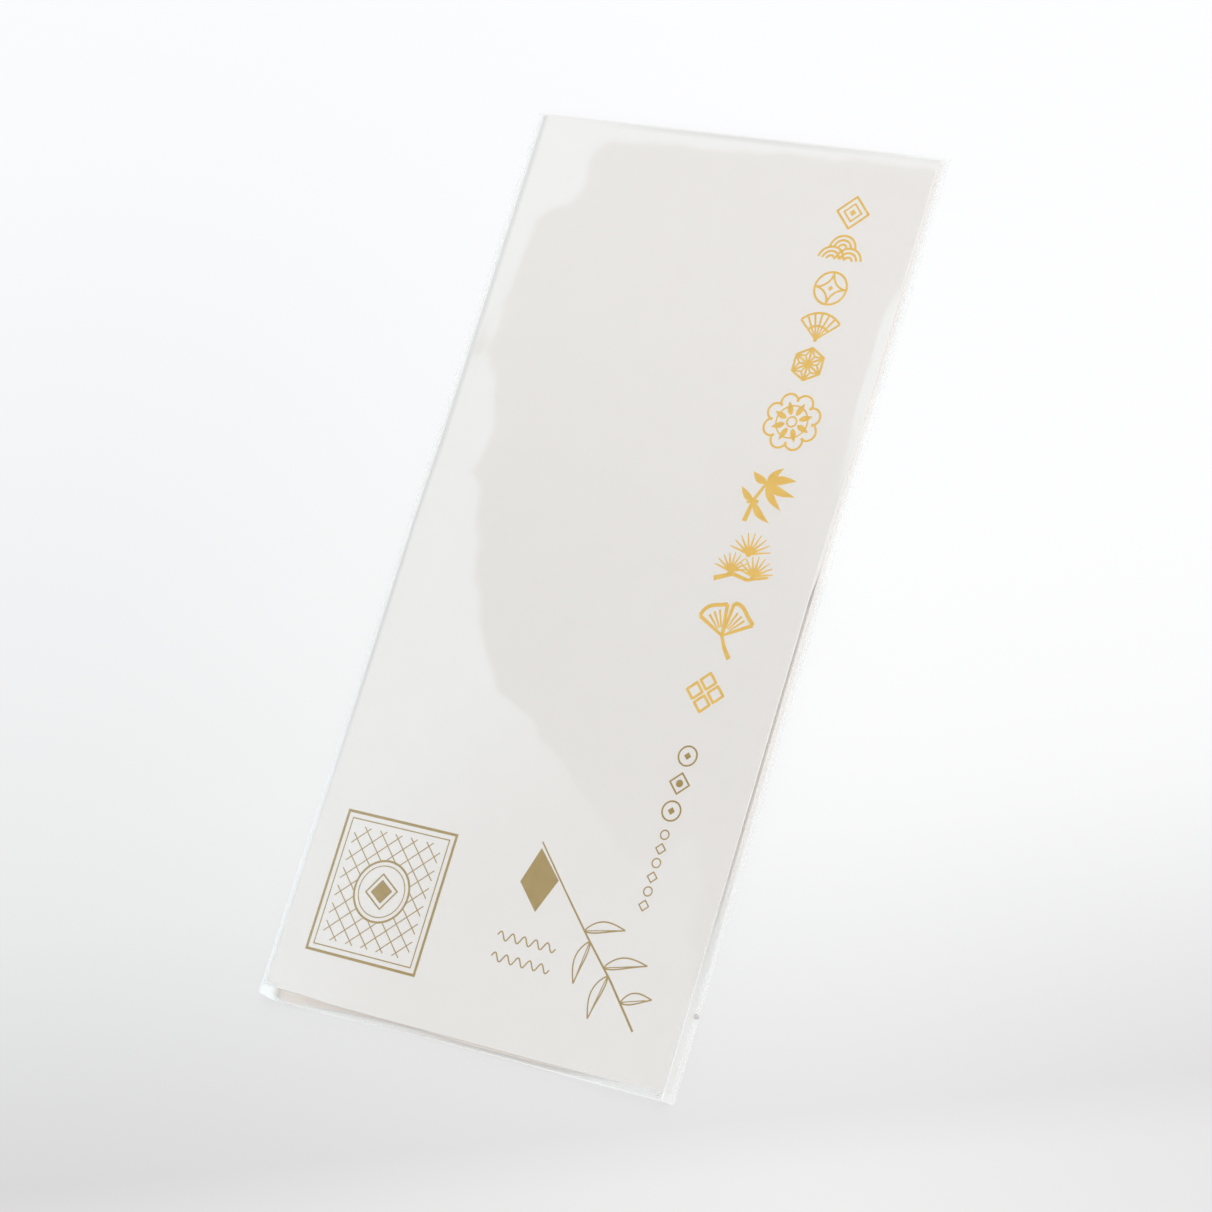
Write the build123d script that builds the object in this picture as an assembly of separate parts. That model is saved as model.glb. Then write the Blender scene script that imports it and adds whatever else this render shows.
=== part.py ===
from build123d import *
import os

# A folded paper folder with five gold leaves between interleaf papers, in a clear film sleeve.
# It lies on its back: X across the folder, +Y towards the sleeve's folded top, +Z out of the front.
# The origin is under the middle of the sleeve, on the surface that it rests on. All lengths in mm.

os.makedirs("parts", exist_ok=True)

# Sleeve: one clear film, folded at the top, welded along both sides, open at the bottom
sleeve_width = 86.0
sleeve_length = 174.0
film_thickness = 0.05
weld_width = 1.0
weld_bead_radius = 0.09

# Folder: one sheet of heavy paper, folded along its left side
cover_thickness = 0.30
side_margin = 1.7
mouth_margin = 1.3
top_margin = 0.7
film_gap = 0.03
film_side_gap = 0.15
fold_leg = 0.10

# The front cover is held up by the pack and lies almost on the back cover past its upper end
upper_gap = 0.30
slope_offset = 1.0
slope_length = 20.0

# Pack: a backing board, six interleaf papers and five leaves, all in the lower half
pack_length = 87.0
pack_fold_gap = 0.2
pack_edge_inset = 0.4
pack_mouth_inset = 0.4
board_thickness = 0.40
interleaf_thickness = 0.08
sheet_gap = 0.02
leaf_count = 5
leaf_size = 53.0
leaf_thickness = 0.02

# Cutting solids run past what they cut by this much
overrun = 2.0

# Outline of the sleeve and the folder, seen from the front
sleeve_right = sleeve_width / 2
sleeve_top = sleeve_length / 2
sleeve_mouth = -sleeve_length / 2
weld_inner = sleeve_right - weld_width
cover_right = sleeve_right - side_margin
fold_left = -cover_right
cover_bottom = sleeve_mouth + mouth_margin
cover_top = sleeve_top - top_margin

# Heights of the flat layers, from the surface up
back_cover_bottom = film_thickness + film_gap
back_cover_top = back_cover_bottom + cover_thickness
board_bottom = back_cover_top + sheet_gap
board_top = board_bottom + board_thickness
first_interleaf_bottom = board_top + sheet_gap
interleaf_pitch = interleaf_thickness + leaf_thickness + sheet_gap
stack_top = first_interleaf_bottom + leaf_count * interleaf_pitch + interleaf_thickness

# Height of the front cover's underside over the pack, and above the pack's upper end
cover_over_pack = stack_top + sheet_gap
cover_past_pack = back_cover_top + upper_gap

# The pack seen from the front, and where the slope of the front cover lies
fold_radius = (cover_over_pack + cover_thickness - back_cover_bottom) / 2
panel_left = fold_left + fold_radius + fold_leg
pack_left = panel_left + pack_fold_gap
pack_right = cover_right - pack_edge_inset
pack_bottom = cover_bottom + pack_mouth_inset
pack_top = pack_bottom + pack_length
slope_start = pack_top + slope_offset
slope_end = slope_start + slope_length

# Where the film turns from the front panel towards the welds and the top fold
shoulder_right = cover_right + film_side_gap
shoulder_top = cover_top + film_gap
sleeve_height = cover_over_pack + cover_thickness + film_gap + film_thickness


def block(low, high):
    """A plain block between two opposite corners."""
    size = [b - a for a, b in zip(low, high)]
    middle = [(a + b) / 2 for a, b in zip(low, high)]
    return Pos(*middle) * Box(*size)


def side_face(points):
    """A face in the YZ plane through points given as (y, z)."""
    return make_face(Polyline(*[(0, y, z) for y, z in points], close=True))


def end_face(points):
    """A face in the XZ plane through points given as (x, z)."""
    return make_face(Polyline(*[(x, 0, z) for x, z in points], close=True))


def run_across(face, left, right):
    """A face in the YZ plane, run along X from left to right."""
    return Pos(left, 0, 0) * extrude(face, right - left, dir=(1, 0, 0))


def run_along(face, bottom, top):
    """A face in the XZ plane, run along Y from bottom to top."""
    return Pos(0, bottom, 0) * extrude(face, top - bottom, dir=(0, 1, 0))


def sleeve_back_film():
    """The flat film under the folder, between the two welds."""
    return block((-weld_inner, sleeve_mouth, 0), (weld_inner, sleeve_top, film_thickness))


def film_skin():
    """The film over the folder, of even thickness: high over the pack, low past it, with sloped sides."""
    high = cover_over_pack + cover_thickness + film_gap
    low = cover_past_pack + cover_thickness + film_gap
    side = side_face([
        (sleeve_mouth - overrun, film_thickness),
        (sleeve_mouth - overrun, high),
        (slope_start, high),
        (slope_end, low),
        (shoulder_top, low),
        (sleeve_top - film_thickness, film_thickness),
    ])
    foot = weld_inner - film_gap
    end = end_face([
        (-foot, film_thickness),
        (-shoulder_right, high),
        (shoulder_right, high),
        (foot, film_thickness),
    ])
    outer_side = offset(side, film_thickness, kind=Kind.INTERSECTION)
    outer_end = offset(end, film_thickness, kind=Kind.INTERSECTION)
    ends = (sleeve_mouth - overrun, sleeve_top + overrun)
    space = run_across(side, -sleeve_right, sleeve_right) & run_along(end, *ends)
    return (run_across(outer_side, -sleeve_right, sleeve_right) & run_along(outer_end, *ends)) - space


def skin_between(left, right, bottom, top):
    """The part of the film skin, above the back film, that lies between these limits."""
    return skin & block((left, bottom, film_thickness), (right, top, sleeve_height))


def sleeve_front_film():
    """The front film over the folder's front cover, open at the mouth."""
    return skin_between(-shoulder_right, shoulder_right, sleeve_mouth, shoulder_top)


def sleeve_side(side):
    """The film that slopes down beside the folder from the front film to the weld."""
    near, far = sorted((side * shoulder_right, side * weld_inner))
    return skin_between(near, far, sleeve_mouth, shoulder_top)


def sleeve_weld(side):
    """The strip where both films are welded, with the bead that the hot cut leaves."""
    inner = side * weld_inner
    outer = side * (sleeve_right - weld_bead_radius)
    strip = block(
        (min(inner, outer), sleeve_mouth, 0),
        (max(inner, outer), sleeve_top, 2 * film_thickness),
    )
    bead = Pos(outer, 0, weld_bead_radius) * Rot(90, 0, 0) * Cylinder(weld_bead_radius, sleeve_length)
    return strip + bead


def sleeve_top_fold():
    """The film that slopes down past the folder's top, to the crease where it meets the back film."""
    return skin_between(-weld_inner, weld_inner, shoulder_top, sleeve_top)


def back_cover():
    """The flat rear panel of the folder."""
    return block((panel_left, cover_bottom, back_cover_bottom), (cover_right, cover_top, back_cover_top))


def front_cover():
    """The front panel, held up by the pack and sloping down past its upper end."""
    profile = side_face([
        (cover_bottom, cover_over_pack),
        (slope_start, cover_over_pack),
        (slope_end, cover_past_pack),
        (cover_top, cover_past_pack),
        (cover_top, cover_past_pack + cover_thickness),
        (slope_end, cover_past_pack + cover_thickness),
        (slope_start, cover_over_pack + cover_thickness),
        (cover_bottom, cover_over_pack + cover_thickness),
    ])
    return run_across(profile, panel_left, cover_right)


def fold_section(y, underside):
    """The folded paper's U-shaped section at y, for a front panel with this underside."""
    outer_radius = (underside + cover_thickness - back_cover_bottom) / 2
    inner_radius = outer_radius - cover_thickness
    middle = back_cover_bottom + outer_radius
    centre = fold_left + outer_radius
    low, high = back_cover_bottom, underside + cover_thickness
    outer_arc = ThreePointArc((centre, y, low), (fold_left, y, middle), (centre, y, high))
    inner_arc = ThreePointArc(
        (centre, y, underside),
        (centre - inner_radius, y, middle),
        (centre, y, back_cover_top),
    )
    outline = [
        Line((panel_left, y, low), (centre, y, low)),
        outer_arc,
        Line((centre, y, high), (panel_left, y, high)),
        Line((panel_left, y, high), (panel_left, y, underside)),
        Line((panel_left, y, underside), (centre, y, underside)),
        inner_arc,
        Line((centre, y, back_cover_top), (panel_left, y, back_cover_top)),
        Line((panel_left, y, back_cover_top), (panel_left, y, low)),
    ]
    return make_face(outline)


def spine_fold():
    """The fold that joins the covers: wide beside the pack, narrow past its upper end."""
    sections = [
        fold_section(cover_bottom, cover_over_pack),
        fold_section(slope_start, cover_over_pack),
        fold_section(slope_end, cover_past_pack),
        fold_section(cover_top, cover_past_pack),
    ]
    return loft(sections, ruled=True)


def pack_sheet(bottom, thickness):
    """A full-size sheet of the pack whose underside is at this height."""
    return block((pack_left, pack_bottom, bottom), (pack_right, pack_top, bottom + thickness))


def gold_leaf(bottom):
    """A square leaf in the middle of the sheet that it lies on."""
    middle_x = (pack_left + pack_right) / 2
    middle_y = (pack_bottom + pack_top) / 2
    half = leaf_size / 2
    return block(
        (middle_x - half, middle_y - half, bottom),
        (middle_x + half, middle_y + half, bottom + leaf_thickness),
    )


skin = film_skin()
pieces = {
    "sleeve_back_film": sleeve_back_film(),
    "sleeve_front_film": sleeve_front_film(),
    "sleeve_left_side": sleeve_side(-1),
    "sleeve_right_side": sleeve_side(1),
    "sleeve_left_weld": sleeve_weld(-1),
    "sleeve_right_weld": sleeve_weld(1),
    "sleeve_top_fold": sleeve_top_fold(),
    "back_cover": back_cover(),
    "spine_fold": spine_fold(),
    "front_cover": front_cover(),
    "backing_board": pack_sheet(board_bottom, board_thickness),
}

for number in range(leaf_count + 1):
    underside = first_interleaf_bottom + number * interleaf_pitch
    pieces[f"interleaf_{number + 1}"] = pack_sheet(underside, interleaf_thickness)
    if number < leaf_count:
        pieces[f"gold_leaf_{number + 1}"] = gold_leaf(underside + interleaf_thickness)

for name, shape in pieces.items():
    export_step(shape, f"parts/{name}.step")

print(f"{len(pieces)} pieces, total height {sleeve_height:.3f} mm")
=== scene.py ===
import math
import bpy
import numpy as np
from mathutils import Matrix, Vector
from mathutils.geometry import delaunay_2d_cdt


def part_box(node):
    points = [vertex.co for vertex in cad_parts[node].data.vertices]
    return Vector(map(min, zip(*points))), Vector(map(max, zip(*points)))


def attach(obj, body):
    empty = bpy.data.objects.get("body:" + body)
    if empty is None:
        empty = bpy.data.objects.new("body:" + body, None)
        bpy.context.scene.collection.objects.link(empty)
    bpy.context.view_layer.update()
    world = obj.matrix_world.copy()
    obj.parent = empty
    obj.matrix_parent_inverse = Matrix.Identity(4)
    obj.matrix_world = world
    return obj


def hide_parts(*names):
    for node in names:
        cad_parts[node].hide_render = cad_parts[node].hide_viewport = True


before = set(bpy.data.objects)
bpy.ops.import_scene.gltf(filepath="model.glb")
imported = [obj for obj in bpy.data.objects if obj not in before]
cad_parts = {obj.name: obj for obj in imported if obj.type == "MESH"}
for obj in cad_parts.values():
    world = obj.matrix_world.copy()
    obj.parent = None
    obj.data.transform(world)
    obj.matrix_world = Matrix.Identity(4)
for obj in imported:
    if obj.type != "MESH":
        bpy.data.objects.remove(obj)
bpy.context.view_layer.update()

# Lengths in this script are in millimetres, and the meshes are made in metres
MM = 0.001


def node_box(name):
    """A CAD node's lowest and highest corner, in millimetres."""
    low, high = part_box(name)
    return [v / MM for v in low], [v / MM for v in high]


# Where the CAD has the parts of the package
back_film_low, back_film_high = node_box("sleeve_back_film")
weld_low, weld_high = node_box("sleeve_right_weld")
back_low, back_high = node_box("back_cover")
front_low, front_high = node_box("front_cover")
fold_low = node_box("spine_fold")[0]
board_high = node_box("backing_board")[1]

SLEEVE_EDGE = weld_high[0]
SLEEVE_TOP = weld_high[1]
SLEEVE_MOUTH = weld_low[1]
WELD_INNER = back_film_high[0]
FILM = back_film_high[2] - back_film_low[2]
PAPER = back_high[2] - back_low[2]
COVER_RIGHT = front_high[0]
COVER_TOP = front_high[1]
COVER_BOTTOM = front_low[1]
FOLD_LEFT = fold_low[0]
COVER_OVER_PACK = front_high[2]
BACK_COVER_MIDDLE = (back_low[2] + back_high[2]) / 2

# The front cover slopes down past the pack's upper end, to a small gap over the back cover
SLOPE_OFFSET = 1.0
SLOPE_LENGTH = 20.0
UPPER_GAP = 0.30
SLOPE_START = board_high[1] + SLOPE_OFFSET
SLOPE_END = SLOPE_START + SLOPE_LENGTH
COVER_PAST_PACK = back_high[2] + UPPER_GAP + PAPER

# The film lies over the front cover with this much air under it, and ends inside the welds
FILM_AIR = 0.05
FILM_END = WELD_INNER - 0.01

# At the left of the mouth the film was cut lower: how much, where across, and how far up it is drawn
MOUTH_HANG = 0.80
HANG_LEFT = (-43.2, -38)
HANG_RIGHT = (-44, 14)
HANG_FADE = 14

# Past the pack the front cover's open edge hangs down to this far above the back cover, more and
# more between these places up the folder and across it
EDGE_AIR = 0.03
DIP_UP = (board_high[1] + 0.2, board_high[1] + 9)
DIP_ACROSS = (COVER_RIGHT - 16, COVER_RIGHT - 1)

# The film spans the slope more gently than the paper does
FILM_SLOPE = (SLOPE_START - 1, SLOPE_END + 16)

# Where across the folder its covers' lower edges change to what they are at the far right
FAR_RIGHT = (16, 36)


def smooth_step(value, start, end):
    """0 before start, 1 after end and an even curve between."""
    t = np.clip((value - start) / (end - start), 0, 1)
    return t * t * (3 - 2 * t)


def waves(x, y, length, seed, count=9):
    """Smooth irregular waves of about this length, mostly between -1 and 1."""
    draw = np.random.default_rng(seed)
    total = 0
    for _ in range(count):
        turn = draw.uniform(0, 2 * math.pi)
        size = length * draw.uniform(0.7, 1.5)
        phase = draw.uniform(0, 2 * math.pi)
        total = total + np.sin((x * math.cos(turn) + y * math.sin(turn)) * 2 * math.pi / size + phase)
    return total / (1.4 * math.sqrt(count))


def cover_height(y):
    """Height of the front cover's outer face, before its small waves."""
    drop = smooth_step(y, SLOPE_START, SLOPE_END)
    return COVER_OVER_PACK + (COVER_PAST_PACK - COVER_OVER_PACK) * drop


def cover_dip(x, y):
    """How far the front cover's open edge hangs down on the back cover past the pack, in millimetres."""
    free = cover_height(y) - PAPER - back_high[2] - EDGE_AIR
    return free * smooth_step(y, *DIP_UP) * smooth_step(x, *DIP_ACROSS)


def film_height(y):
    """Height of the front film's middle, before its small waves."""
    drop = smooth_step(y, *FILM_SLOPE)
    return COVER_OVER_PACK + (COVER_PAST_PACK - COVER_OVER_PACK) * drop + FILM_AIR + FILM / 2


def mouth_hang(x):
    """How much lower the film was cut at the left of the mouth, in millimetres."""
    return MOUTH_HANG * smooth_step(x, *HANG_LEFT) * (1 - smooth_step(x, *HANG_RIGHT))


def drawn_down(x, y):
    """The film's y where its lower end is drawn down to the mouth's edge."""
    return y - mouth_hang(x) * (1 - smooth_step(y, SLEEVE_MOUTH, SLEEVE_MOUTH + HANG_FADE))


def cover_cut(x):
    """How far the front cover's lower edge wanders from a straight cut, in millimetres."""
    return 0.17 - 0.36 * smooth_step(x, -36, -24) + 0.17 * smooth_step(x, *FAR_RIGHT)


def paper_waves(x, y):
    """Small waves of the heavy paper, in millimetres."""
    return 0.012 * waves(x, y, 34, seed=11) + 0.004 * waves(x, y, 9, seed=12)


def cover_face(x, y):
    """Height of the front cover's outer face with its waves."""
    return cover_height(y) - cover_dip(x, y) + paper_waves(x, y)


def grid(xs, ys):
    """Matching arrays of x and y for a grid with these columns and rows."""
    return np.meshgrid(np.asarray(xs, float), np.asarray(ys, float))


def rows_between(start, end, step, rim=0.0):
    """Evenly spaced positions, with one more close to each end when rim is given."""
    count = max(2, round(abs(end - start) / step) + 1)
    places = np.linspace(start, end, count)
    if rim:
        side = math.copysign(rim, end - start)
        places = np.concatenate([[start, start + side], places[1:-1], [end - side, end]])
    return places


def make_mesh(name, points, faces, finish):
    """A mesh object from points in millimetres, with smooth faces and sharp rims."""
    sharp = 35
    mesh = bpy.data.meshes.new(name)
    mesh.from_pydata((np.asarray(points, float) * MM).tolist(), [], faces)
    mesh.validate()
    mesh.shade_smooth()
    mesh.set_sharp_from_angle(angle=math.radians(sharp))
    mesh.materials.append(finish)
    piece = bpy.data.objects.new(name, mesh)
    bpy.context.scene.collection.objects.link(piece)
    return piece


def thin_sheet(name, middle, thickness, finish):
    """A closed sheet around a grid of points, of this thickness."""
    middle = np.asarray(middle, float)
    rows, columns = middle.shape[:2]
    along = np.gradient(middle, axis=0)
    across = np.gradient(middle, axis=1)
    normal = np.cross(across, along)
    normal /= np.linalg.norm(normal, axis=2, keepdims=True)
    half = np.broadcast_to(np.asarray(thickness, float), (rows, columns))[..., None] / 2
    upper = (middle + normal * half).reshape(-1, 3)
    lower = (middle - normal * half).reshape(-1, 3)
    number = np.arange(rows * columns).reshape(rows, columns)
    under = rows * columns
    a, b = number[:-1, :-1].ravel(), number[:-1, 1:].ravel()
    c, d = number[1:, 1:].ravel(), number[1:, :-1].ravel()
    faces = np.stack([a, b, c, d], axis=1).tolist()
    faces += np.stack([d + under, c + under, b + under, a + under], axis=1).tolist()
    rim = np.concatenate([number[0, :-1], number[:-1, -1], number[-1, :0:-1], number[:0:-1, 0]])
    for here, there in zip(rim, np.roll(rim, -1)):
        faces.append([int(here), int(here + under), int(there + under), int(there)])
    return make_mesh(name, np.concatenate([upper, lower]), faces, finish)


def rounded_rim(xs, ys, thickness, edge_share):
    """Thickness over a grid: thinner on its outermost points, which softens the cut edges."""
    field = np.full((len(ys), len(xs)), thickness)
    field[0, :] = field[-1, :] = thickness * edge_share
    field[:, 0] = field[:, -1] = thickness * edge_share
    return field


# Shader wires and finishes


class Wire:
    """One output of a shader node, which takes part in sums and products."""

    def __init__(self, finish, socket):
        self.finish = finish
        self.socket = socket

    def maths(self, operation, *values):
        return self.finish.node("ShaderNodeMath", {"operation": operation}, dict(enumerate(values)))

    def __add__(self, other):
        return self.maths("ADD", self, other)

    def __radd__(self, other):
        return self.maths("ADD", other, self)

    def __sub__(self, other):
        return self.maths("SUBTRACT", self, other)

    def __rsub__(self, other):
        return self.maths("SUBTRACT", other, self)

    def __mul__(self, other):
        return self.maths("MULTIPLY", self, other)

    def __rmul__(self, other):
        return self.maths("MULTIPLY", other, self)

    def __truediv__(self, other):
        return self.maths("DIVIDE", self, other)

    def __pow__(self, other):
        return self.maths("POWER", self, other)

    def at_most(self, limit):
        return self.maths("MINIMUM", self, limit)

    def between(self, low, high):
        """0 where the value is low, 1 where it is high, and smooth between."""
        values = {"Value": self, "From Min": low, "From Max": high}
        return self.finish.node("ShaderNodeMapRange", {"interpolation_type": "SMOOTHSTEP"}, values)


class Finish:
    """A material made from nodes."""

    def __init__(self, name, owner=None):
        self.material = owner or bpy.data.materials.new(name)
        self.material.use_nodes = True
        self.tree = self.material.node_tree
        self.tree.nodes.clear()

    def node(self, kind, settings=None, values=None, output=0):
        """Adds a node with these settings and socket values or links, and gives one output."""
        made = self.tree.nodes.new(kind)
        for key, value in (settings or {}).items():
            if key == "stops":
                ramp = made.color_ramp.elements
                while len(ramp) < len(value):
                    ramp.new(1.0)
                for element, (place, colour) in zip(ramp, value):
                    element.position = place
                    element.color = (*colour, 1)
            else:
                setattr(made, key, value)
        for key, value in (values or {}).items():
            socket = made.inputs[key]
            if isinstance(value, Wire):
                self.tree.links.new(value.socket, socket)
            elif isinstance(value, tuple) and len(value) == 3 and socket.type == "RGBA":
                socket.default_value = (*value, 1)
            else:
                socket.default_value = value
        return Wire(self, made.outputs[output]) if made.outputs else made

    def place(self, scale=(1, 1, 1)):
        """The point on the piece in millimetres, each axis times its scale."""
        point = self.node("ShaderNodeTexCoord", output="Object")
        by = tuple(s / MM for s in scale)
        return self.node("ShaderNodeVectorMath", {"operation": "MULTIPLY"}, {0: point, 1: by})

    def axis(self, name):
        """One coordinate of the point on the piece, in millimetres."""
        return self.node("ShaderNodeSeparateXYZ", None, {0: self.place()}, output=name)

    def noise(self, size, detail=3.0, roughness=0.5, stretch=(1, 1, 1), distortion=0.0):
        """Cloudy noise from 0 to 1 whose features are about this many millimetres."""
        values = {
            "Vector": self.place(stretch), "Scale": 1 / size, "Detail": detail,
            "Roughness": roughness, "Distortion": distortion,
        }
        return self.node("ShaderNodeTexNoise", None, values)

    def cells(self, size, feature="F1"):
        """Distance in a cell pattern whose cells are about this many millimetres."""
        values = {"Vector": self.place(), "Scale": 1 / size}
        return self.node("ShaderNodeTexVoronoi", {"feature": feature}, values)

    def blend(self, share, first, second):
        """The first colour where share is 0 and the second where it is 1."""
        return self.node(
            "ShaderNodeMix", {"data_type": "RGBA"}, {0: share, 6: first, 7: second}, output=2
        )

    def relief(self, height, depth, strength=1.0):
        """A bump normal from a height from 0 to 1 that stands for this many millimetres."""
        return self.node(
            "ShaderNodeBump", None, {"Height": height, "Distance": depth * MM, "Strength": strength}
        )

    def surface(self, shader):
        """Ends the material with this shader."""
        self.node("ShaderNodeOutputMaterial", None, {"Surface": shader})
        return self.material

    def plain(self, **values):
        """A Principled surface. Underscores in the names stand for spaces."""
        sockets = {key.replace("_", " "): value for key, value in values.items()}
        return self.surface(self.node("ShaderNodeBsdfPrincipled", None, sockets))


# The share of light that one face of the film mirrors straight on
FILM_MIRROR = 0.04


def film_gloss(finish, haze, roughness, normal=None, body=(0.935, 0.95, 0.95), flat_mirror=1.0):
    """Clear film: what lies behind shows through, and it mirrors more at flat angles."""
    facing = finish.node("ShaderNodeLayerWeight", None, {"Blend": 0.5}, output="Facing")
    mirror = FILM_MIRROR + (flat_mirror - FILM_MIRROR) * facing ** 5
    gloss_values = {"Color": (1.0, 1.0, 1.0), "Roughness": roughness}
    if normal:
        gloss_values["Normal"] = normal
    gloss = finish.node("ShaderNodeBsdfGlossy", None, gloss_values)
    clear = finish.node("ShaderNodeBsdfTransparent", None, {"Color": (0.998, 0.994, 0.988)})
    white = finish.node("ShaderNodeBsdfDiffuse", None, {"Color": body})
    behind = finish.node("ShaderNodeMixShader", None, {0: haze, 1: clear, 2: white})
    return finish.node("ShaderNodeMixShader", None, {0: mirror, 1: behind, 2: gloss})


def clear_film():
    """The glossy film of the sleeve."""
    finish = Finish("clear_film")
    drawn = finish.noise(26, detail=2, stretch=(1, 0.35, 1))
    fine = finish.noise(2.2, detail=1)
    normal = finish.relief(drawn + 0.03 * fine, 0.01, 1.0)
    x, y = finish.axis("X"), finish.axis("Y")
    # The cut edge at the mouth looks white, most of all to the right
    hang = MOUTH_HANG * x.between(*HANG_LEFT) * (1 - x.between(*HANG_RIGHT))
    cut = 1 - (y + hang).between(SLEEVE_MOUTH + 0.06, SLEEVE_MOUTH + 0.20)
    cut = cut * (0.22 + 0.50 * x.between(0, 20))
    # Painted highlight: beside the folder's two lower corners, where the film bends, it is given a white
    # haze that stands for the light it catches there
    right_mouth_highlight = x.between(14, 36) * (1 - y.between(COVER_BOTTOM - 0.1, COVER_BOTTOM + 0.5))
    right_side_highlight = x.between(COVER_RIGHT - 0.25, COVER_RIGHT + 0.15) * (1 - y.between(-76, -36))
    left_tip_highlight = (1 - x.between(-39.8, -37.2)) * (1 - y.between(-86.0, -84.4))
    painted_highlight = 0.26 * right_mouth_highlight + 0.80 * right_side_highlight + 0.85 * left_tip_highlight
    haze = (0.004 + cut + painted_highlight).at_most(0.85)
    return finish.surface(film_gloss(finish, haze, 0.03, normal))


def welded_film():
    """The film where it is welded, duller and hazy."""
    finish = Finish("welded_film")
    streaks = finish.noise(3, detail=1, stretch=(1, 0.2, 1))
    left = 1 - finish.axis("X").between(-1, 1)
    haze = 0.22 + 0.10 * streaks + (0.04 + 0.42 * left) * (1 - finish.axis("Y").between(-60, 20))
    return finish.surface(film_gloss(finish, haze, 0.7, body=(0.94, 0.96, 0.98), flat_mirror=0.05))


def melted_film():
    """Dark rough lumps that the hot knife leaves."""
    finish = Finish("melted_film")
    specks = finish.noise(0.35, detail=2)
    colour = finish.blend(specks, (0.34, 0.32, 0.30), (0.80, 0.79, 0.78))
    return finish.plain(Base_Color=colour, Roughness=0.5, Normal=finish.relief(specks, 0.05, 0.6))


def cover_paper():
    """Heavy off-white paper with a felt texture, and painted shade along its fold, under its upper edge and
    over its lower part.
    """
    finish = Finish("cover_paper")
    cloud = finish.noise(7, detail=3)
    felt = finish.noise(0.55, detail=4, roughness=0.6)
    fibre = finish.noise(0.9, detail=2, stretch=(1, 0.16, 1), distortion=1.2)
    pits = finish.cells(1.1)
    tone = 0.55 * cloud + 0.25 * felt + 0.2 * fibre
    pale = finish.blend(tone, (0.822, 0.801, 0.791), (0.858, 0.841, 0.835))
    x, y = finish.axis("X"), finish.axis("Y")
    # Painted shade: the lower part of the cover is a little darker
    lower_painted_shade = 1 - y.between(-25, 75)
    # Painted shade: darker along the fold, fading out towards its lower end, and just under the upper edge,
    # less towards the right
    fold_painted_shade = (1 - x.between(FOLD_LEFT + 0.6, FOLD_LEFT + 1.5)) * y.between(-62, -20)
    top_edge_painted_shade = y.between(COVER_TOP - 1.3, COVER_TOP - 0.2) * x.between(-38, -5)
    top_edge_painted_shade = top_edge_painted_shade * (1 - 0.6 * x.between(8, 34))
    shade = 0.055 * lower_painted_shade + 0.15 * fold_painted_shade + 0.12 * top_edge_painted_shade
    cut_edge = x.between(COVER_RIGHT - 0.03, COVER_RIGHT - 0.01)
    colour = finish.blend(cut_edge, finish.blend(shade, pale, (0.0, 0.0, 0.0)), (0.90, 0.89, 0.88))
    height = 0.55 * felt + 0.25 * fibre + 0.2 * pits
    return finish.plain(
        Base_Color=colour, Roughness=0.82, Specular_IOR_Level=0.25,
        Normal=finish.relief(height, 0.035, 0.8),
    )


def interleaf_paper():
    """Thin brownish paper between the leaves."""
    finish = Finish("interleaf_paper")
    cloud = finish.noise(5, detail=4)
    fibre = finish.noise(0.7, detail=3, stretch=(1, 0.12, 1), distortion=2.0)
    colour = finish.blend(0.5 * cloud + 0.5 * fibre, (0.66, 0.595, 0.555), (0.83, 0.775, 0.74))
    return finish.plain(
        Base_Color=colour, Roughness=0.9, Specular_IOR_Level=0.2,
        Normal=finish.relief(fibre, 0.02, 0.7),
    )


def backing_card():
    """Grey recycled board."""
    finish = Finish("backing_card")
    cloud = finish.noise(3, detail=4)
    specks = finish.noise(0.35, detail=2).between(0.60, 0.72)
    grey = finish.blend(cloud, (0.56, 0.54, 0.51), (0.66, 0.64, 0.61))
    colour = finish.blend(specks * 0.5, grey, (0.36, 0.33, 0.30))
    return finish.plain(
        Base_Color=colour, Roughness=0.88, Specular_IOR_Level=0.2,
        Normal=finish.relief(cloud, 0.03, 0.7),
    )


def gold_leaf_finish():
    """Beaten gold with fine creases."""
    finish = Finish("beaten_gold")
    creases = finish.noise(3.2, detail=5, roughness=0.62, distortion=0.8)
    folds = finish.cells(4.5, feature="DISTANCE_TO_EDGE")
    colour = finish.blend(creases, (0.82, 0.52, 0.14), (0.98, 0.72, 0.28))
    height = creases + 0.5 * folds
    return finish.plain(
        Base_Color=colour, Metallic=1.0, Roughness=0.18 + 0.2 * creases,
        Normal=finish.relief(height, 0.12, 0.9),
    )


def foil_print(name, dark, light, roughness):
    """Pressed foil between two tones."""
    finish = Finish(name)
    patches = finish.noise(1.6, detail=3)
    grain = finish.noise(0.3, detail=2)
    colour = finish.blend(patches, dark, light)
    return finish.plain(
        Base_Color=colour, Metallic=1.0, Roughness=roughness + 0.15 * grain,
        Normal=finish.relief(grain, 0.01, 0.5),
    )


CLEAR_FILM = clear_film()
WELDED_FILM = welded_film()
MELTED_FILM = melted_film()
COVER_PAPER = cover_paper()
INTERLEAF_PAPER = interleaf_paper()
BACKING_CARD = backing_card()
BEATEN_GOLD = gold_leaf_finish()
BRIGHT_FOIL = foil_print("bright_foil", (0.80, 0.50, 0.12), (0.95, 0.66, 0.22), 0.42)
DULL_FOIL = foil_print("dull_foil", (0.42, 0.30, 0.12), (0.52, 0.39, 0.18), 0.5)


# The sleeve: one film, folded at the top and welded along both sides


def film_across(x, height, foot):
    """The front film's height across the sleeve: level over the folder, down to the welds."""
    away = smooth_step(np.abs(x), COVER_RIGHT + 0.03, FILM_END)
    return foot + (height - foot) * (1 - away)


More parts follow.
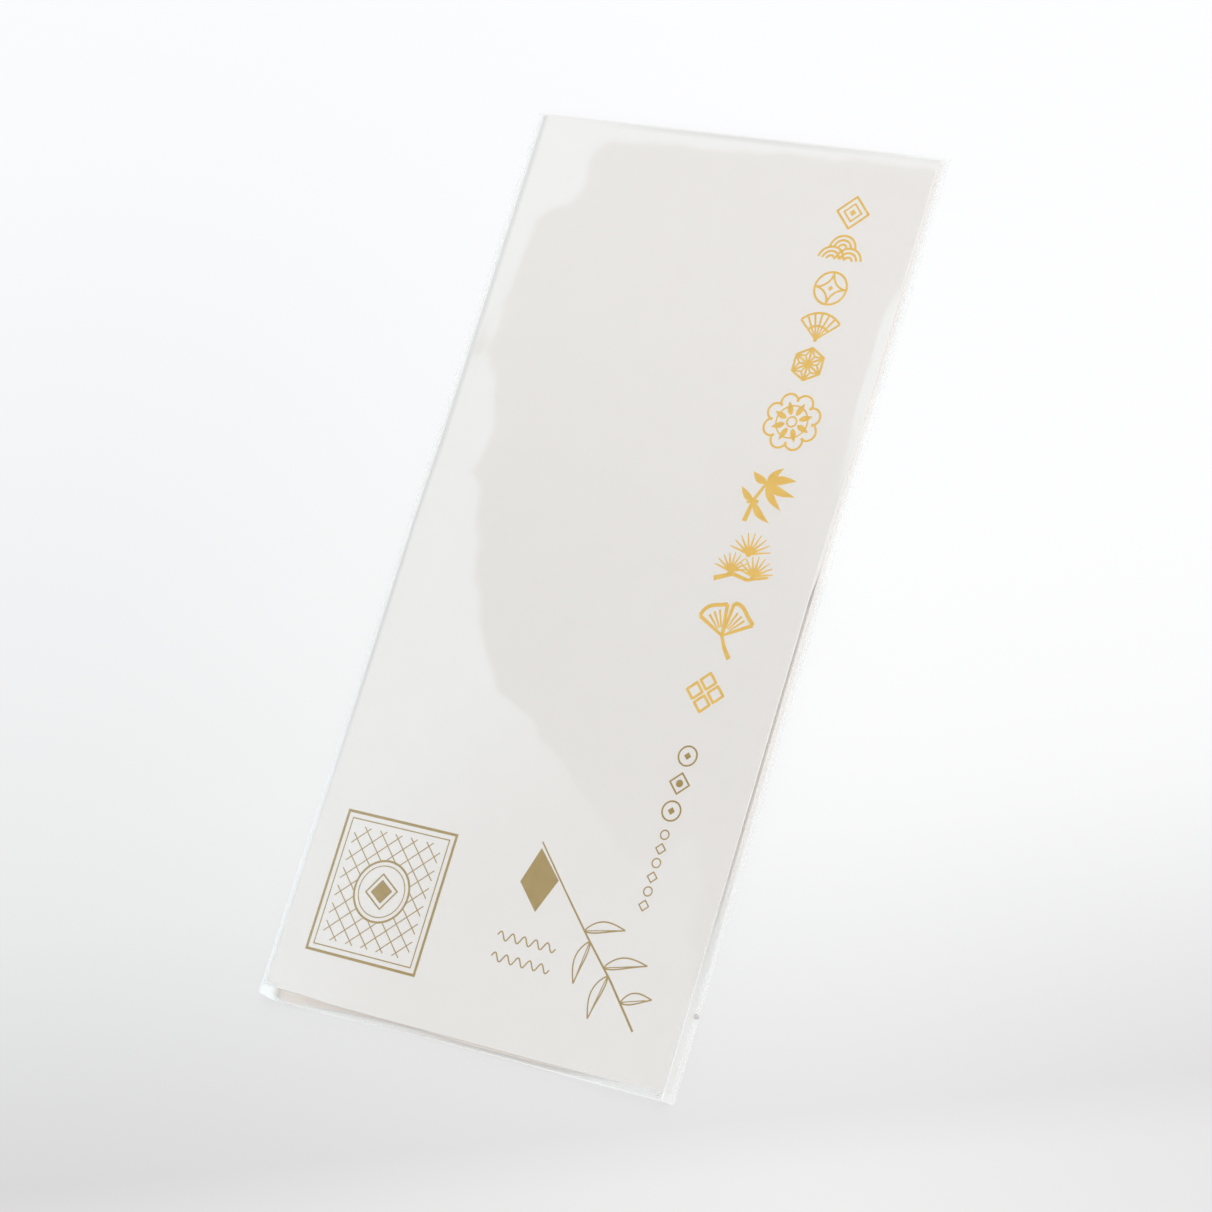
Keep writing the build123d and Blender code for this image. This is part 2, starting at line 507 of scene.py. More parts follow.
def sleeve_film():
    """Front film, crease and back film as one thin sheet."""
    crease = 0.04
    half_columns = np.concatenate([
        np.linspace(0, 38, 34), np.linspace(38.8, 41.2, 7), np.linspace(41.3, FILM_END, 11),
    ])
    xs = np.concatenate([-half_columns[:0:-1], half_columns])
    front_foot = back_film_high[2] + FILM / 2
    front_rows = np.concatenate([
        [SLEEVE_MOUTH, SLEEVE_MOUTH + 0.10], rows_between(SLEEVE_MOUTH + 0.2, COVER_TOP - 0.4, 1.4),
        np.linspace(COVER_TOP - 0.2, SLEEVE_TOP - crease, 10),
    ])
    x, y = grid(xs, front_rows)
    y = drawn_down(x, y)
    over = film_height(y)
    puckers = 0.006 * waves(x, y, 34, seed=21) + 0.012 * waves(x, y * 0.6, 60, seed=22)
    puckers = puckers + 0.0016 * waves(x, y, 9, seed=23)
    over = over + puckers * (1 - smooth_step(np.abs(x), 38, 42))
    down = smooth_step(y, COVER_TOP + 0.03, SLEEVE_TOP - crease)
    z = film_across(x, over, front_foot)
    z = z + (front_foot - z) * down
    front = np.stack([x, y, z], axis=2)
    turns = np.linspace(0.5, -0.5, 7)[1:-1] * math.pi
    middle = (front_foot + FILM / 2) / 2
    top_bend = np.stack([
        np.stack([
            xs, np.full_like(xs, SLEEVE_TOP - crease + crease * math.cos(t)),
            np.full_like(xs, middle + (front_foot - middle) * math.sin(t)),
        ], axis=1)
        for t in turns
    ])
    back_rows = rows_between(SLEEVE_TOP - crease, SLEEVE_MOUTH, 2.5)
    x, y = grid(xs, back_rows)
    y = drawn_down(x, y)
    back = np.stack([x, y, np.full_like(x, FILM / 2)], axis=2)
    middle = np.concatenate([front, top_bend, back])
    # The hot cut leaves a thin bead along the mouth
    thickness = np.full(middle.shape[:2], FILM)
    thickness[:2] = 2 * FILM
    return thin_sheet("sleeve_film", middle, thickness, CLEAR_FILM)


def sleeve_seam(name, side):
    """A welded edge strip that ends in the round bead of the hot cut."""
    ys = rows_between(SLEEVE_MOUTH, SLEEVE_TOP, 0.8)
    bead = (weld_high[2] - weld_low[2]) / 2
    strip = 2 * FILM
    inner = WELD_INNER - 0.02
    count = len(ys)
    swell = 0.97 + 0.03 * waves(ys, 0 * ys, 14.0, seed=33 + side)
    wander = 0.008 * waves(ys, 0 * ys, 24.0, seed=36 + side)
    rings = []
    for y, share, shift in zip(ys, swell, wander):
        radius = bead * min(share, 1.0)
        centre = SLEEVE_EDGE - bead - abs(shift)
        outline = [(inner, 0.0), (centre - 1.2 * radius, 0.0)]
        for step in range(9):
            turn = math.radians(-130 + 260 * step / 8)
            outline.append((centre + radius * math.cos(turn), bead + radius * math.sin(turn)))
        outline += [(centre - 1.2 * radius, strip), (inner, strip)]
        rings.append([(side * px, y, pz) for px, pz in outline])
    size = len(rings[0])
    points = [p for outline in rings for p in outline]
    faces = []
    for row in range(count - 1):
        for k in range(size):
            here, after = row * size + k, row * size + (k + 1) % size
            face = [here, after, after + size, here + size]
            faces.append(face if side < 0 else face[::-1])
    first, last = list(range(size)), [(count - 1) * size + k for k in range(size)]
    faces.append(first[::-1] if side < 0 else first)
    faces.append(last if side < 0 else last[::-1])
    return make_mesh(name, points, faces, WELDED_FILM)


film = sleeve_film()
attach(film, "sleeve")
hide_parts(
    "sleeve_back_film", "sleeve_front_film", "sleeve_left_side", "sleeve_right_side",
    "sleeve_top_fold",
)
for seam_name, seam_side, seam_node in (
    ("sleeve_seam_left", -1, "sleeve_left_weld"), ("sleeve_seam_right", 1, "sleeve_right_weld"),
):
    seam = sleeve_seam(seam_name, seam_side)
    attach(seam, "sleeve")
    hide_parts(seam_node)


def film_lump(name, centre, size, seed):
    """A small rough lump of melted film."""
    draw = np.random.default_rng(seed)
    rings, sides = 7, 12
    points = [(centre[0], centre[1], centre[2] - size[2])]
    for ring in range(1, rings):
        tilt = math.pi * ring / rings
        for side in range(sides):
            turn = 2 * math.pi * side / sides
            reach = math.sin(tilt) * draw.uniform(0.75, 1.1)
            points.append((
                centre[0] + size[0] * reach * math.cos(turn),
                centre[1] + size[1] * reach * math.sin(turn),
                centre[2] - size[2] * math.cos(tilt),
            ))
    points.append((centre[0], centre[1], centre[2] + size[2]))
    last = len(points) - 1
    faces = [[0, 1 + (side + 1) % sides, 1 + side] for side in range(sides)]
    for ring in range(rings - 2):
        for side in range(sides):
            a, b = 1 + ring * sides + side, 1 + ring * sides + (side + 1) % sides
            faces.append([a, b, b + sides, a + sides])
    top = 1 + (rings - 2) * sides
    faces += [[last, top + side, top + (side + 1) % sides] for side in range(sides)]
    return make_mesh(name, points, faces, MELTED_FILM)


for lump_name, lump_centre, lump_size, lump_seed in (
    ("weld_lump", (42.2, -71.7, 0.16), (0.70, 0.42, 0.10), 71),
    ("mouth_lump", (40.45, -86.2, 1.93), (0.20, 0.17, 0.06), 72),
):
    lump = film_lump(lump_name, lump_centre, lump_size, lump_seed)
    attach(lump, "sleeve")


# The folder: one sheet of heavy paper with its fold on the left


def paper_folder():
    """Both covers and the fold as one sheet of heavy paper."""
    rim = 0.05
    # The back cover reaches further to the mouth than the front cover, except at the far right
    back_longer = 1.40
    mouth_fade = 8
    panel = rows_between(COVER_RIGHT, FOLD_LEFT + 1.6, 1.6)
    start = np.concatenate([[COVER_RIGHT, COVER_RIGHT - rim], panel[1:]])
    ys = rows_between(COVER_BOTTOM, COVER_TOP, 1.4, rim)
    turns = np.linspace(0, 1, 13)[1:-1]
    rows = []
    for y in ys:
        front = float(cover_height(y)) - PAPER / 2
        radius = (front - BACK_COVER_MIDDLE) / 2
        centre = FOLD_LEFT + radius + PAPER / 2
        reach = (start - start[-1]) / (start[0] - start[-1])
        xs = centre + (COVER_RIGHT - centre) * reach
        near_mouth = float(1 - smooth_step(y, COVER_BOTTOM, COVER_BOTTOM + mouth_fade))
        longer = back_longer * near_mouth
        back = [(x, y - longer * float(1 - smooth_step(x, *FAR_RIGHT)), BACK_COVER_MIDDLE) for x in xs]
        bend = []
        for turn in turns:
            height = BACK_COVER_MIDDLE + radius * (1 - math.cos(math.pi * turn))
            bend.append((centre - radius * math.sin(math.pi * turn), y, height))
        over = [
            (x, y + float(cover_cut(x)) * near_mouth, float(cover_face(x, y)) - PAPER / 2)
            for x in xs[::-1]
        ]
        rows.append(back + bend + over)
    # The columns run from the front cover's open edge round the fold, and rows and columns are
    # both turned so that the faces look outwards
    middle = np.array(rows)[::-1, ::-1]
    thickness = rounded_rim(range(middle.shape[1]), range(middle.shape[0]), PAPER, 0.72)
    return thin_sheet("paper_folder", middle, thickness, COVER_PAPER)


folder = paper_folder()
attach(folder, "folder")
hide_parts("front_cover", "spine_fold", "back_cover")


# The pack: backing board, interleaf papers and leaves


def pack_sheet(name, node, finish, edge, flush=0.0, reach=0.0):
    """A full-size sheet of the pack in its node's place, whose lower end reaches out."""
    low, high = node_box(node)
    thickness = high[2] - low[2]
    rim = 0.04
    spacing = 2.0
    xs = rows_between(low[0] + edge, high[0] - edge, spacing, rim)
    first_y, last_y = low[1] + edge, high[1] - edge
    ys = np.concatenate([
        [first_y, first_y + rim], np.linspace(first_y + 0.4, first_y + 4, 10),
        rows_between(first_y + 6, last_y - rim, spacing), [last_y],
    ])
    x, y = grid(xs, ys)
    # The lower end reaches out a little all along, more in the middle and most at the left corner
    inward = x - low[0]
    corner = reach * smooth_step(inward, 0, 4) * np.exp(-inward / 14)
    middle_part = smooth_step(x, -14, 4) * (1 - smooth_step(x, 16, 30))
    out = flush * (1 + 1.1 * middle_part - 0.3 * smooth_step(x, 24, 34)) + corner
    fade = 14
    y = y - out * (1 - smooth_step(y, low[1], low[1] + fade))
    middle = np.stack([x, y, np.full_like(x, (low[2] + high[2]) / 2)], axis=2)
    return thin_sheet(name, middle, rounded_rim(xs, ys, thickness, 0.8), finish)


# Real leaf is far thinner still
LEAF = 0.004


def leaf_sheet(name, node, seed):
    """A beaten gold leaf with crinkles and a slightly uneven edge."""
    low, high = node_box(node)
    steps = np.linspace(-1, 1, 67)
    u, v = grid(steps, steps)
    half_x, half_y = (high[0] - low[0]) / 2, (high[1] - low[1]) / 2
    centre_x, centre_y = (high[0] + low[0]) / 2, (high[1] + low[1]) / 2
    ragged = 0.25 * waves(u * 26, v * 26, 2.6, seed=seed) + 0.25
    pull_x = 1 - ragged / half_x * np.abs(u) ** 12
    pull_y = 1 - ragged / half_y * np.abs(v) ** 12
    x, y = centre_x + u * half_x * pull_x, centre_y + v * half_y * pull_y
    crinkle = 0.010 * waves(x, y, 4.0, seed=seed + 1) + 0.006 * waves(x, y, 1.8, seed=seed + 2)
    z = (low[2] + high[2]) / 2 + np.clip(crinkle, -0.007, 0.016)
    return thin_sheet(name, np.stack([x, y, z], axis=2), LEAF, BEATEN_GOLD)


LEAVES = 5
# How far the interleaf papers stand out of the pack all along the mouth
FLUSH = 0.45

board = pack_sheet("backing_card_sheet", "backing_board", BACKING_CARD, 0.0)
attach(board, "leaf_pack")
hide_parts("backing_board")
for number in range(1, LEAVES + 2):
    under_leaf = number <= LEAVES
    body = f"leaf_sheet_{number}" if under_leaf else "top_sheet"
    # The lower papers reach further out of the mouth than the upper ones
    reach = 2.9 - 0.4 * number
    paper = pack_sheet(
        f"interleaf_sheet_{number}", f"interleaf_{number}", INTERLEAF_PAPER, 0.03 * (number % 3),
        FLUSH, reach,
    )
    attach(paper, body)
    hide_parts(f"interleaf_{number}")
    if under_leaf:
        leaf = leaf_sheet(f"beaten_leaf_{number}", f"gold_leaf_{number}", seed=50 + 5 * number)
        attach(leaf, body)
        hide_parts(f"gold_leaf_{number}")


# Printed ornament on the front cover: thin foil shapes made from tapered strokes


def stroke(points, width, start=1.0, end=1.0):
    """The outline of a stroke along these points, whose width goes from start to end times width."""
    points = np.asarray(points, float)
    way = np.gradient(points, axis=0)
    way /= np.linalg.norm(way, axis=1, keepdims=True)
    side = np.stack([-way[:, 1], way[:, 0]], axis=1)
    share = np.linspace(0, 1, len(points))[:, None]
    half = width / 2 * (start + (end - start) * share)
    outline = np.concatenate([points - side * half, (points + side * half)[::-1]])
    return outline.tolist()


def arc(centre, radius, first, last, steps=20):
    """Points along an arc, with angles in degrees."""
    turns = np.radians(np.linspace(first, last, steps))
    return [(centre[0] + radius * math.cos(t), centre[1] + radius * math.sin(t)) for t in turns]


def ring(centre, radius, width, steps=40):
    """A closed ring, as two strokes that overlap a little."""
    halves = ((-4, 184), (176, 364))
    return [stroke(arc(centre, radius, first, last, steps), width) for first, last in halves]


def bar(first, last, width, start=1.0, end=1.0):
    """A straight stroke."""
    return stroke(np.linspace(first, last, 3), width, start, end)


def polygon(centre, radius, corners, turn=0.0):
    """A filled regular polygon."""
    return [
        (centre[0] + radius * math.cos(math.radians(turn) + 2 * math.pi * k / corners),
         centre[1] + radius * math.sin(math.radians(turn) + 2 * math.pi * k / corners))
        for k in range(corners)
    ]


def frame_lines(centre, radius, corners, width, turn=0.0):
    """The outline of a regular polygon drawn with strokes."""
    corner = polygon(centre, radius, corners, turn)
    return [bar(a, b, width) for a, b in zip(corner, corner[1:] + corner[:1])] + [
        polygon(c, width / 2, 8) for c in corner
    ]


def blade(root, tip, width, bow=0.0):
    """A long leaf, pointed at both ends and bowed to one side."""
    root, tip = np.asarray(root, float), np.asarray(tip, float)
    way = tip - root
    side = np.array([-way[1], way[0]])
    share = np.linspace(0, 1, 15)[:, None]
    middle = root + way * share + side * bow * np.sin(math.pi * share)
    half = width / 2 * np.sin(math.pi * share ** 0.75)
    unit = side / np.linalg.norm(side)
    return np.concatenate([middle - unit * half, (middle + unit * half)[-2:0:-1]]).tolist()


def around(centre, radius, degrees):
    """A point at this distance and direction from the centre."""
    turn = math.radians(degrees)
    return (centre[0] + radius * math.cos(turn), centre[1] + radius * math.sin(turn))


# The marks: c is the centre, r the radius and w the width of the strokes


def nested_lozenge(c, r, w):
    return frame_lines(c, r, 4, w) + frame_lines(c, 0.55 * r, 4, 0.8 * w) + [polygon(c, 0.22 * r, 4)]


def hemp_star(c, r, w):
    shapes = frame_lines(c, r, 6, w, 30)
    for k in range(6):
        shapes.append(bar(c, around(c, r, 30 + 60 * k), w))
        shapes.append(bar(around(c, 0.56 * r, 60 * k), around(c, r, 30 + 60 * k), 0.8 * w))
        shapes.append(bar(around(c, 0.56 * r, 60 * k), around(c, r, 60 * k - 30), 0.8 * w))
        shapes.append(bar(c, around(c, 0.58 * r, 60 * k), 0.8 * w))
    return shapes


def wave_scales(c, r, w):
    shapes = []
    for x, y in ((0, 0.12), (-0.55, -0.62), (0.55, -0.62)):
        for size in (0.85, 0.56, 0.27):
            spread = (0, 180) if y > 0 else (8, 172)
            shapes.append(stroke(arc((c[0] + x * r, c[1] + y * r), size * r * 0.95, *spread), w))
    return shapes


def linked_rings(c, r, w):
    shapes = ring(c, r, w)
    for k in range(4):
        middle = around(c, r * math.sqrt(2), 45 + 90 * k)
        shapes.append(stroke(arc(middle, r, 180 + 90 * k, 270 + 90 * k), w, 0.9, 0.9))
    return shapes + [polygon(c, 0.17 * r, 4)]


def open_fan(c, r, w):
    root = (c[0], c[1] - 0.85 * r)
    shapes = [stroke(arc(root, 1.65 * r, 42, 138), w), stroke(arc(root, 0.85 * r, 42, 138), w)]
    for k in range(7):
        turn = 42 + 16 * k
        shapes.append(bar(around(root, 0.08 * r, turn), around(root, 1.65 * r, turn), w, 0.6, 1.0))
    return shapes + [polygon(root, 0.13 * r, 10)]


def rosette(c, r, w):
    shapes = []
    for k in range(8):
        turn = 22.5 + 45 * k
        lobe = around(c, 0.70 * r, turn)
        shapes.append(stroke(arc(lobe, 0.30 * r, turn - 100, turn + 100, 18), w))
        shapes.append(blade(around(c, 0.24 * r, turn), around(c, 0.74 * r, turn), 0.2 * r))
    return shapes + ring(c, 0.56 * r, 0.7 * w) + ring(c, 0.17 * r, 0.8 * w)


def bamboo(c, r, w):
    x, y = c
    cane = [(x - 0.50 * r, y - 0.95 * r), (x - 0.40 * r, y - 0.2 * r), (x - 0.12 * r, y + 0.45 * r)]
    shapes = [
        stroke(cane, 1.1 * w, 1.2, 0.6),
        bar((x - 0.62 * r, y - 0.30 * r), (x - 0.22 * r, y - 0.24 * r), 0.9 * w),
    ]
    for tip, width, bow in (
        ((0.85, 0.62), 0.30, 0.06), ((0.95, 0.10), 0.28, -0.06), ((0.62, -0.42), 0.26, -0.08),
        ((0.30, 0.98), 0.24, 0.05), ((-0.70, 0.72), 0.26, 0.08),
    ):
        shapes.append(blade((x - 0.14 * r, y + 0.40 * r), (x + tip[0] * r, y + tip[1] * r), width * r, bow))
    shapes.append(blade((x - 0.42 * r, y - 0.26 * r), (x - 0.95 * r, y + 0.18 * r), 0.22 * r, 0.06))
    shapes.append(blade((x - 0.40 * r, y - 0.28 * r), (x + 0.35 * r, y - 0.88 * r), 0.24 * r, -0.08))
    return shapes


def pine(c, r, w):
    x, y = c
    branch = [
        (x - 0.9 * r, y - 0.75 * r), (x - 0.3 * r, y - 0.5 * r), (x + 0.25 * r, y - 0.62 * r),
        (x + 0.92 * r, y - 0.42 * r),
    ]
    shapes = [stroke(branch, 1.1 * w, 1.2, 0.6)]
    for root, size in (((-0.42, -0.42), 0.62), ((0.40, -0.46), 0.66), ((0.02, 0.22), 0.72)):
        middle = (x + root[0] * r, y + root[1] * r)
        for k in range(9):
            turn = 14 + 19 * k
            shapes.append(bar(middle, around(middle, size * r, turn), 0.75 * w, 1.0, 0.35))
        shapes.append(polygon(middle, 0.8 * w, 8))
    return shapes


def ginkgo(c, r, w):
    x, y = c
    root = (x - 0.05 * r, y - 0.28 * r)
    shapes = [stroke([(x + 0.42 * r, y - 0.98 * r), (x + 0.16 * r, y - 0.66 * r), root], 1.1 * w, 1.1, 0.7)]
    for first, last in ((28, 84), (96, 152)):
        edge = []
        for t in np.radians(np.linspace(first, last, 14)):
            edge.append(around(root, r * (1.06 + 0.05 * math.sin(6 * t)), math.degrees(t)))
        shapes.append(stroke(edge, w))
        shapes.append(bar(root, edge[0], w, 0.7, 1.0))
        shapes.append(bar(root, edge[-1], w, 0.7, 1.0))
        for share in (0.28, 0.5, 0.72):
            turn = first + (last - first) * share
            inner, outer = around(root, 0.28 * r, turn), around(root, 0.86 * r, turn)
            shapes.append(bar(inner, outer, 0.7 * w, 0.5, 0.9))
    return shapes


def four_lozenges(c, r, w):
    shapes = []
    for k in range(4):
        middle = around(c, 0.54 * r, 90 * k)
        shapes += frame_lines(middle, 0.40 * r, 4, w)
    return shapes


# The foil stands out of the paper's face by the first and is pressed into it by the second
FOIL_ABOVE = 0.010
FOIL_BELOW = 0.006


def inlay(name, shapes, finish):
    """A thin printed layer on the front cover with the joined outline of these shapes."""
    points, faces = [], []
    for shape in shapes:
        area = sum(a[0] * b[1] - b[0] * a[1] for a, b in zip(shape, shape[1:] + shape[:1]))
        ordered = shape if area > 0 else shape[::-1]
        faces.append(list(range(len(points), len(points) + len(ordered))))
        points += [(float(p[0]), float(p[1])) for p in ordered]
    closest = 1e-5
    flat, _, cut, _, _, made_from = delaunay_2d_cdt(points, [], faces, 0, closest)
    kept = [face for face, origin in zip(cut, made_from) if origin]
    flat = np.array([tuple(p) for p in flat])
    height = cover_face(flat[:, 0], flat[:, 1])
    top = np.column_stack([flat, height + FOIL_ABOVE])
    bottom = np.column_stack([flat, height - FOIL_BELOW])
    under = len(flat)
    edges = {(a, b) for face in kept for a, b in zip(face, face[1:] + face[:1])}
    solid = [list(face) for face in kept] + [[v + under for v in face[::-1]] for face in kept]
    solid += [[b, a, a + under, b + under] for a, b in sorted(edges) if (b, a) not in edges]
    piece = make_mesh(name, np.concatenate([top, bottom]), solid, finish)
    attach(piece, "folder")
    return piece


def framed_lattice(left, bottom, right, top):
    """A framed panel: double frame, diagonal lattice and a roundel with a tilted square."""
    shapes = []
    for inset, width in ((0.0, 0.5), (1.15, 0.22)):
        corner = [
            (left + inset, bottom + inset), (right - inset, bottom + inset),
            (right - inset, top - inset), (left + inset, top - inset),
        ]
        shapes += [bar(a, b, width) for a, b in zip(corner, corner[1:] + corner[:1])]
        shapes += [polygon(c, width / math.sqrt(2), 4, 45) for c in corner]
    centre = ((left + right) / 2, (bottom + top) / 2)
    margin = 2.3
    low_x, high_x, low_y, high_y = left + margin, right - margin, bottom + margin, top - margin
    hole = 5.6
    pitch = 3.3
    hairline = 0.2
    # Each diagonal is followed in small steps and drawn where it lies inside the frame and
    # outside the roundel, if more than a few steps are
    fewest = 4
    for way in (1, -1):
        for k in range(-9, 10):
            inside = []
            for x in np.linspace(low_x, high_x, 170):
                y = centre[1] + way * (x - centre[0]) + k * pitch
                free = math.hypot(x - centre[0], y - centre[1]) > hole
                if low_y <= y <= high_y and free:
                    inside.append((float(x), float(y)))
                    continue
                if len(inside) > fewest:
                    shapes.append(bar(inside[0], inside[-1], hairline))
                inside = []
            if len(inside) > fewest:
                shapes.append(bar(inside[0], inside[-1], hairline))
    shapes += ring(centre, hole, 0.4) + ring(centre, hole - 0.9, hairline)
    shapes += frame_lines(centre, 3.2, 4, 0.3, 12) + [polygon(centre, 2.2, 4, 12)]
    return shapes


COLUMN = 27.7
UPPER_MARKS = (
    (74.4, nested_lozenge), (67.0, wave_scales), (59.7, linked_rings), (52.4, open_fan),
    (45.1, hemp_star),
)
for y, motif in UPPER_MARKS:
    inlay(f"foil_{motif.__name__}", motif((COLUMN, y), 3.1, 0.42), BRIGHT_FOIL)
inlay("foil_rosette", rosette((27.9, 34.1), 5.4, 0.42), BRIGHT_FOIL)
for y, motif in ((20.0, bamboo), (7.6, pine), (-4.9, ginkgo)):
    inlay(f"foil_{motif.__name__}", motif((27.4, y), 5.6, 0.72), BRIGHT_FOIL)
inlay("foil_four_lozenges", four_lozenges((27.2, -17.0), 3.8, 0.5), BRIGHT_FOIL)


def small_column():
    """Three small marks and a row of six tiny ones below them."""
    shapes = []
    first_tiny, tiny_pitch = -42.9, 2.55
    for k, y in enumerate((-28.6, -33.6, -38.6)):
        centre = (27.5, y)
        shapes += ring(centre, 1.75, 0.32, 24) if k % 2 == 0 else frame_lines(centre, 1.9, 4, 0.32)
        shapes.append(polygon(centre, 0.7, 4 if k % 2 == 0 else 12))
    for k in range(6):
        centre = (27.6, first_tiny - tiny_pitch * k)
        shapes += frame_lines(centre, 0.95, 4, 0.24) if k % 2 else ring(centre, 0.8, 0.24, 16)
    return shapes


def sprig():
    """A slanting stem with narrow leaves, below a tilted square of leaf."""
    square = [(3.0, -56.6), (7.6, -61.2), (10.3, -54.9), (5.2, -50.0)]
    stem = [(5.0, -48.9), (12.0, -56.2), (18.9, -63.2), (25.6, -69.6), (32.4, -77.0)]
    shapes = [square, stroke(stem, 0.34, 0.8, 1.2)]
    for root, tip, bow in (
        ((18.0, -62.3), (25.6, -60.6), 0.08), ((19.6, -63.9), (18.8, -71.6), -0.08),
        ((23.6, -67.7), (31.6, -65.6), 0.08), ((24.8, -68.9), (23.4, -76.8), -0.08),
        ((28.6, -72.7), (34.2, -71.0), 0.08),
    ):
        outline = blade(root, tip, 1.9, bow)
        half = len(outline) // 2 + 1
        shapes.append(stroke(outline[:half], 0.26))
        shapes.append(stroke(outline[half - 1:] + outline[:1], 0.26))
        rib_end = np.array(root) + 0.8 * (np.array(tip) - np.array(root))
        shapes.append(bar(root, rib_end.tolist(), 0.18))
    return shapes


def wave_rows():
    """Two rows of small waves."""
    shapes = []
    start, end, height, length = 1.8, 13.6, 0.75, 2.36
    for y in (-66.6, -70.4):
        xs = np.linspace(start, end, 60)
        wave = [(x, y + height * math.sin((x - start) * 2 * math.pi / length)) for x in xs]
        shapes.append(stroke(wave, 0.26))
    return shapes


dull = [
    inlay("print_small_column", small_column(), DULL_FOIL),
    inlay("print_framed_lattice", framed_lattice(-35.0, -77.2, -12.0, -51.3), DULL_FOIL),
    inlay("print_sprig", sprig(), DULL_FOIL),
    inlay("print_wave_rows", wave_rows(), DULL_FOIL),
]


# Stage: pale floor, light roof, dark flag and camera


def stage_plane(name, corners, finish):
    """A flat face of the studio, which isn't a piece of the object."""
    piece = make_mesh(name, corners, [list(range(len(corners)))], finish)
    return piece


# Most of the floor's light comes up through it, as on a light table, so nothing on it casts a dark edge
FLOOR_GLOW = 0.72
FLAG_UNDER_ROOF = 10.0


def floor_finish():
    """A pale sweep with painted shade: lighter behind the package and greyer in front."""
    finish = Finish("pale_floor")
    x, y = finish.axis("X"), finish.axis("Y")
    # Millimetres over the floor, down the picture and to its right
    ahead = 0.33 * x - 0.944 * y
    beside = 0.944 * x + 0.33 * y
    # Painted shade: the ramp runs from light behind the package to darkest a little in front of its lower
    # end, then a little lighter again
    ramp = [
        (0.0, (0.955, 0.955, 0.970)), (0.50, (0.955, 0.955, 0.962)), (0.61, (0.940, 0.940, 0.942)),
        (0.67, (0.915, 0.915, 0.918)), (0.727, (0.865, 0.865, 0.867)), (0.783, (0.818, 0.814, 0.817)),
        (0.832, (0.787, 0.775, 0.779)), (0.865, (0.835, 0.832, 0.832)), (1.0, (0.850, 0.850, 0.848)),
    ]
    tone = finish.node("ShaderNodeValToRGB", {"stops": ramp}, {0: (ahead + 150) / 300})
    # Painted shade: darker to the left, more so in front, and darker to the right in front
    left = (1 - beside.between(-130, 60)) * (0.02 + 0.115 * ahead.between(-150, 60))
    right = beside.between(20, 150) * 0.09 * ahead.between(40, 110)
    colour = finish.blend(left + right, tone, (0.0, 0.0, 0.0))
    lit = finish.blend(1 - FLOOR_GLOW, colour, (0.0, 0.0, 0.0))
    own = finish.blend(FLOOR_GLOW, colour, (0.0, 0.0, 0.0))
    return finish.plain(
        Base_Color=own, Roughness=0.9, Specular_IOR_Level=0.0, Emission_Color=lit, Emission_Strength=1.0
    )


def seen_from_below(finish, shader):
    """This shader on the underside and nothing at all from above, so the roof hides no view."""
    above = finish.node("ShaderNodeNewGeometry", output="Backfacing")
    clear = finish.node("ShaderNodeBsdfTransparent")
    return finish.surface(finish.node("ShaderNodeMixShader", None, {0: above, 1: shader, 2: clear}))


def light_cloth():
    """The lit underside of the light roof, dimmer over the front of the package."""
    finish = Finish("light_cloth")
    x, y = finish.axis("X") + 500, finish.axis("Y")
    away = (x * x + y * y) ** 0.5
    # The part that the front film mirrors is bluer
    blue = x.between(-420, -260) * (1 - x.between(100, 260))
    warm_tint, blue_tint = (1.03, 1.0, 0.98), (0.74, 0.98, 1.10)
    dim, bright = (
        finish.blend(blue, tuple(level * v for v in warm_tint), tuple(level * v for v in blue_tint))
        for level in (0.37, 1.20)
    )
    glow = finish.node(
        "ShaderNodeEmission", None, {"Color": finish.blend(away.between(85, 225), dim, bright)}
    )
    return seen_from_below(finish, glow)


def flag_cloth():
    """Black cloth, seen from below only."""
    finish = Finish("black_flag")
    black = finish.node("ShaderNodeBsdfDiffuse", None, {"Color": (0.015, 0.015, 0.015)})
    return seen_from_below(finish, black)


